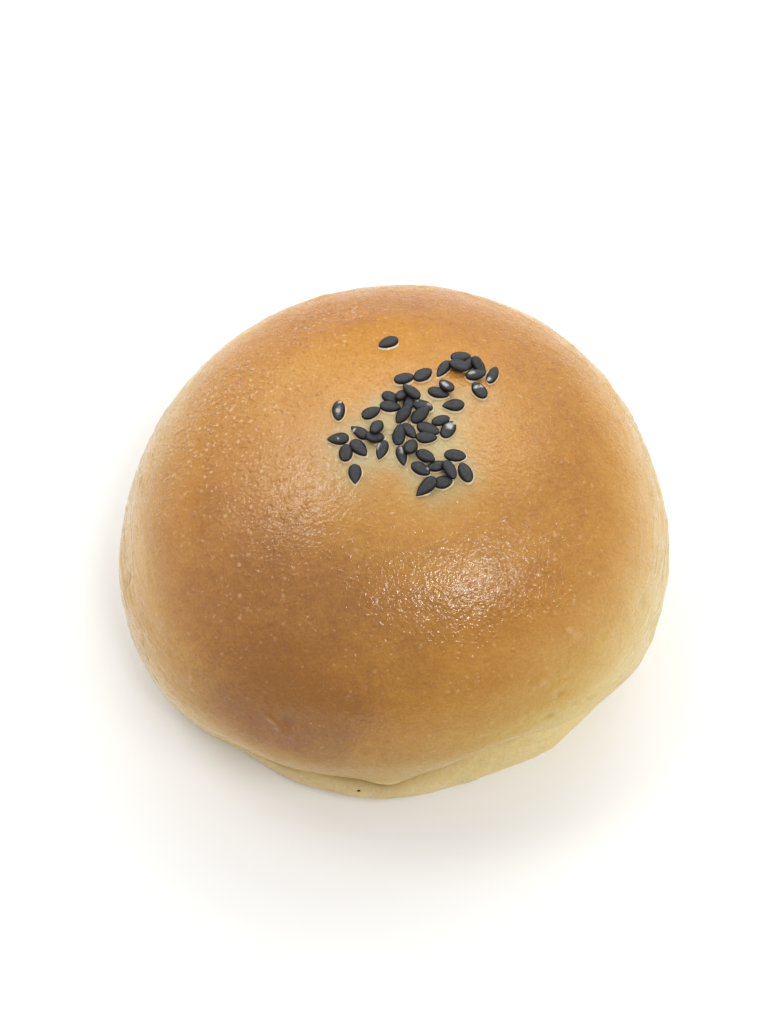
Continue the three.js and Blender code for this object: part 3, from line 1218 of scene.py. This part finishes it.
def rim_shade_share(flat, length, width, taper):
    """How much painted shade lies on the seed's rim, where its sides turn away from the light."""
    along = np.clip(flat[:, 0] / (length / 2), -RIM_LIMIT, RIM_LIMIT)
    across = np.abs(flat[:, 1]) / (half_width(along, taper) * width / 2)
    return np.maximum(rise(*RIM_ACROSS, across), rise(*RIM_ALONG, np.abs(along)))


def outline_of_seed(placed):
    """The edge of a placed seed, going once round."""
    sides = placed[1:-1].reshape(SEED_RINGS, SEED_SIDES, 3)
    left = sides[:, 0]
    right = sides[::-1, SEED_SIDES // 2]
    return np.concatenate([placed[:1], left, placed[-1:], right])


def wash_rim(crust_tree, placed, number):
    """A thin fillet of dried egg wash between one seed and the crust, as rings going outwards."""
    outline = outline_of_seed(placed)
    centre = Vector(outline.mean(axis=0))
    _, normal, _, _ = crust_tree.ray_cast(centre - DOWN * FEELER_HEIGHT, DOWN)
    uneven = own_unevenness(outline, WASH_UNEVENNESS, number)
    reach = WASH_REACH * np.maximum(WASH_LEAST, 1 + uneven)
    rings = []
    for share, height in WASH_PROFILE:
        for corner, wide in zip(outline, reach):
            edge = Vector(corner)
            outward = edge - centre
            outward = (outward - normal * outward.dot(normal)).normalized()
            start = edge + outward * (wide * share) + normal * FEELER_HEIGHT
            spot, _, _, fall = crust_tree.ray_cast(start, -normal)
            near = rise(*WASH_ENDS, fall - FEELER_HEIGHT)
            lift = max(height, 0) * near + min(height, 0) - WASH_SINKS * (1 - near)
            rings.append(spot + normal * lift)
    return rings


def make_wash_rims(crust_tree, seeds, material):
    """The dried egg wash that gathers round the foot of each seed."""
    points = []
    faces = []
    for number, placed in enumerate(seeds):
        rings = wash_rim(crust_tree, placed, number)
        count = len(rings) // len(WASH_PROFILE)
        for ring in range(len(WASH_PROFILE)):
            inner = len(points) + ring * count
            outer = len(points) + (ring + 1) % len(WASH_PROFILE) * count
            faces += band(inner, outer, count)
        points += rings
    return new_object(new_mesh("egg_wash", points, faces), material)


def crust_surface(crust):
    corners = [vertex.co / MM for vertex in crust.data.vertices]
    polygons = [tuple(polygon.vertices) for polygon in crust.data.polygons]
    return bvhtree.BVHTree.FromPolygons(corners, polygons)


def make_seeds(crust_tree, middle, material):
    """All the seeds as one joined mesh, and the points of each."""
    draw = random.Random(DRAWS_START)
    pile = [crust_tree]
    faces_of_one = seed_faces()
    points = []
    flecks = []
    rim_shades = []
    faces = []
    for number, seed in enumerate(SEEDS):
        outline = seed[3:6]
        flat = seed_points(*outline)
        placed = place_seed(pile, middle, seed, flat, draw)
        pile.append(bvhtree.BVHTree.FromPolygons(placed.tolist(), faces_of_one))
        first = number * len(placed)
        faces += [tuple(first + corner for corner in face) for face in faces_of_one]
        points.append(placed)
        flecks.append(fleck_share(flat, seed, number))
        rim_shades.append(rim_shade_share(flat, *outline))
    mesh = new_mesh("sesame", np.concatenate(points), faces)
    add_values(mesh, {"fleck": np.concatenate(flecks), "rim": np.concatenate(rim_shades)})
    return new_object(mesh, material), points


# ---- the dark speck on the foot
SPECK_PLACE = (262, 4.9)
SPECK_RADIUS = 0.2
SPECK_LENGTHENS = 1.3

# How crooked the speck is: the bumps along its radius, their share of it and their pattern.
SPECK_BUMPS = 1.3
SPECK_CROOKEDNESS = 0.35
SPECK_PATTERN = Vector((3, 1, 4))


def make_speck(crust, middle, material):
    """A tiny burnt crumb stuck to the pale foot."""
    azimuth, level = SPECK_PLACE
    outward = direction(azimuth, 0)
    start = outward * WIDTH - Vector(middle)
    start.z = level
    _, spot, _, _ = crust.ray_cast(start * MM, -outward)
    mesh = bpy.data.meshes.new("foot_speck")
    shape = bmesh.new()
    bmesh.ops.create_icosphere(shape, subdivisions=3, radius=SPECK_RADIUS * MM)
    for vertex in shape.verts:
        place = vertex.co / (SPECK_RADIUS * MM)
        vertex.co *= 1 + SPECK_CROOKEDNESS * noise.noise(place * SPECK_BUMPS + SPECK_PATTERN)
        vertex.co.x *= SPECK_LENGTHENS
        vertex.co += spot
    shape.to_mesh(mesh)
    shape.free()
    return new_object(mesh, material)


# ---- floor, light and camera
FLOOR_HALF_WIDTH = 5000
SKY_STRENGTH = 0.35

# Soft windows behind the bun and low at its sides: (azimuth, elevation, strength, sharpness).
GLOWS = (
    (78, 38, 0.72, 3),
    (90, 38, 1.75, 13),
    (150, 55, 0.3, 20),
    (196, 10, 0.5, 8),
    (350, 14, 0.45, 8),
)

# Lamps overhead that glitter on the crust: (name, azimuth, elevation, turn, width, height, power).
LAMPS = (
    ("front_window", 321, 58, -30, 0.28, 0.14, 0.95),
    ("front_lamp", 302, 57, -20, 0.1, 0.05, 0.45),
    ("left_lamp", 149, 61, 0, 0.2, 0.15, 0.62),
    ("back_lamp", 54, 47, 0, 0.26, 0.2, 0.3),
)
LAMP_DISTANCE = 0.6


def make_floor():
    half = FLOOR_HALF_WIDTH
    corners = [(-half, -half, 0), (half, -half, 0), (half, half, 0), (-half, half, 0)]
    material = plain_material("white_table", colour=(0.96, 0.96, 0.955), roughness=0.7, specular=0.2)
    new_object(new_mesh("floor", corners, [(0, 1, 2, 3)]), material)


def make_world():
    """A pale studio with soft windows behind the bun and low ones at its sides.

    The camera sees plain white.
    """
    world = bpy.data.worlds.new("studio")
    world.use_nodes = True
    tree = world.node_tree
    towards = make_node(tree, "TexCoord", {}).outputs["Generated"]
    glows = []
    for azimuth, elevation, strength, sharpness in GLOWS:
        facing = vector_maths("DOT_PRODUCT", towards, direction(azimuth, elevation), "Value")
        glows.append((maths("POWER", maths("MAXIMUM", facing, 0.0), sharpness), strength))
    lighting = weighted_sum(glows, SKY_STRENGTH)
    seen = make_node(tree, "LightPath", {}).outputs["Is Camera Ray"]
    strength = make_node(tree, "Mix", {"Factor": seen, "A": lighting, "B": 1.0})
    inputs = {"Color": (1.0, 1.0, 1.0), "Strength": strength.outputs["Result"]}
    connect(tree.nodes["Background"], inputs)
    bpy.context.scene.world = world


def new_aimed(name, data, place, towards, turn=0):
    """A lamp or camera that looks back along the direction towards it, turned round that."""
    piece = bpy.data.objects.new(name, data)
    piece.location = place
    piece.rotation_mode = "QUATERNION"
    spin = Quaternion((0, 0, 1), math.radians(turn))
    piece.rotation_quaternion = towards.to_track_quat("Z", "Y") @ spin
    bpy.context.scene.collection.objects.link(piece)
    return piece


def make_lamp(name, azimuth, elevation, turn, width, height, power):
    """A rectangular lamp aimed at the top of the bun."""
    data = bpy.data.lights.new(name, "AREA")
    data.shape = "RECTANGLE"
    data.size = width
    data.size_y = height
    data.energy = power
    towards = direction(azimuth, elevation)
    new_aimed(name, data, Vector((0, 0, HEIGHT * MM)) + towards * LAMP_DISTANCE, towards, turn)


FRONT = 270
CAMERA_ELEVATION = 58.9
CAMERA_DISTANCE = 0.21
CAMERA_LENS = 45.28
CAMERA_SENSOR = 36
CAMERA_SHIFT = (-0.01074, -0.00488)


def make_camera(middle):
    """The view from in front and above, aimed at the middle of the form."""
    data = bpy.data.cameras.new("camera")
    data.lens = CAMERA_LENS
    data.sensor_width = CAMERA_SENSOR
    data.shift_x, data.shift_y = CAMERA_SHIFT
    back = direction(FRONT, CAMERA_ELEVATION)
    aim = (Vector((0, 0, HEIGHT / 2)) - Vector(middle)) * MM
    bpy.context.scene.camera = new_aimed("camera", data, aim + back * CAMERA_DISTANCE, back)


# ---- the whole
crust, middle = make_crust(crust_material())
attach(crust, "root")
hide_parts("bun")

crust_tree = crust_surface(crust)
seeds, seed_places = make_seeds(crust_tree, middle, sesame_material())
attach(seeds, "root")

egg_wash = make_wash_rims(crust_tree, seed_places, egg_wash_material())
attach(egg_wash, "root")

speck = make_speck(crust, middle, speck_material())
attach(speck, "root")

make_floor()
make_world()
for lamp in LAMPS:
    make_lamp(*lamp)
make_camera(middle)
bpy.context.scene.view_settings.view_transform = "Standard"
